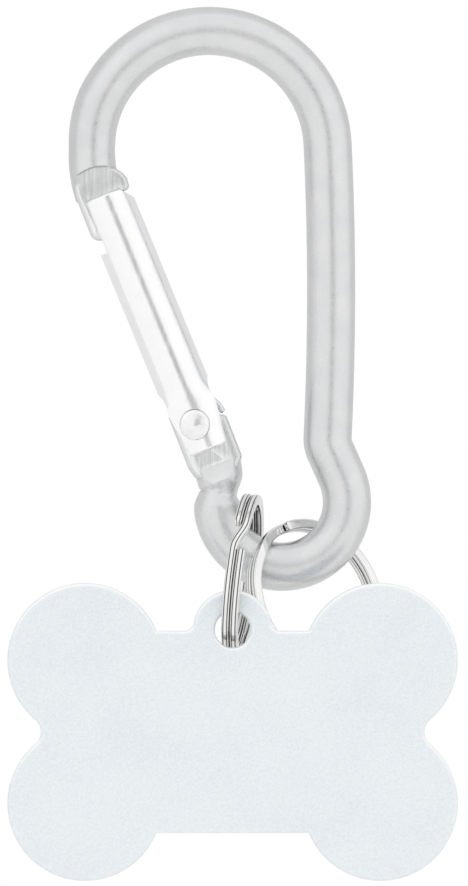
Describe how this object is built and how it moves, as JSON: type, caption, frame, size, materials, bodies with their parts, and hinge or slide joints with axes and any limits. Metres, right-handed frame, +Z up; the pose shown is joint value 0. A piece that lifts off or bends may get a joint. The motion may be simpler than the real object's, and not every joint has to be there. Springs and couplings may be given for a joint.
{
  "type": "pet id tag",
  "caption": "Bone-shaped pet id tag hanging by a split ring from a small sprung-gate snap hook, with a spare split ring for keys or more tags.",
  "frame": {"origin": "highest point of the snap hook's inside surface, where a collar's eye hangs in the top bend", "axes": "+Z up along the hook, +X towards its long side, -Y towards the viewer, on the side of the tag"},
  "size_m": [0.0381, 0.0152, 0.0741],
  "materials": {
    "rod": "tumbled satin",
    "gate_bar": "bright satin",
    "rivet": "plated",
    "spring_wire": "bright drawn wire",
    "ring_plating": "bright nickel plated",
    "tag_sheet": "fine blasted and anodised"
  },
  "bodies": {
    "hook": {"carabiner_body": "rod"},
    "gate": {"gate": "gate_bar", "hinge_rivet": "rivet", "gate_spring": "spring_wire"},
    "tag_ring": {"tag_ring": "ring_plating"},
    "tag": {"bone_tag": "tag_sheet"},
    "key_ring": {"key_ring": "ring_plating"}
  },
  "joints": [
    {"name": "gate_hinge", "type": "hinge", "parent": "hook", "child": "gate", "pos_m": [-0.0012, 0, -0.03141], "axis": [0, 1, 0], "range_deg": [0, 42], "stiffness_Nm_per_rad": 0.006, "springref_deg": -34.38, "deforming": ["gate_spring"]},
    {"name": "tag_ring_swing", "type": "hinge", "parent": "hook", "child": "tag_ring", "pos_m": [0.00345, 0, -0.04273], "axis": [-0.8622, 0, 0.5066], "range_deg": [0, 30]},
    {"name": "tag_swing", "type": "hinge", "parent": "tag_ring", "child": "tag", "pos_m": [0.00286, -0.00341, -0.04427], "axis": [-0.986, 0.1167, 0.1193], "range_deg": [0, 90]},
    {"name": "key_ring_slide", "type": "hinge", "parent": "hook", "child": "key_ring", "pos_m": [0.00624, 0, -0.03799], "axis": [0, -1, 0], "range_deg": [0, 25]}
  ]
}
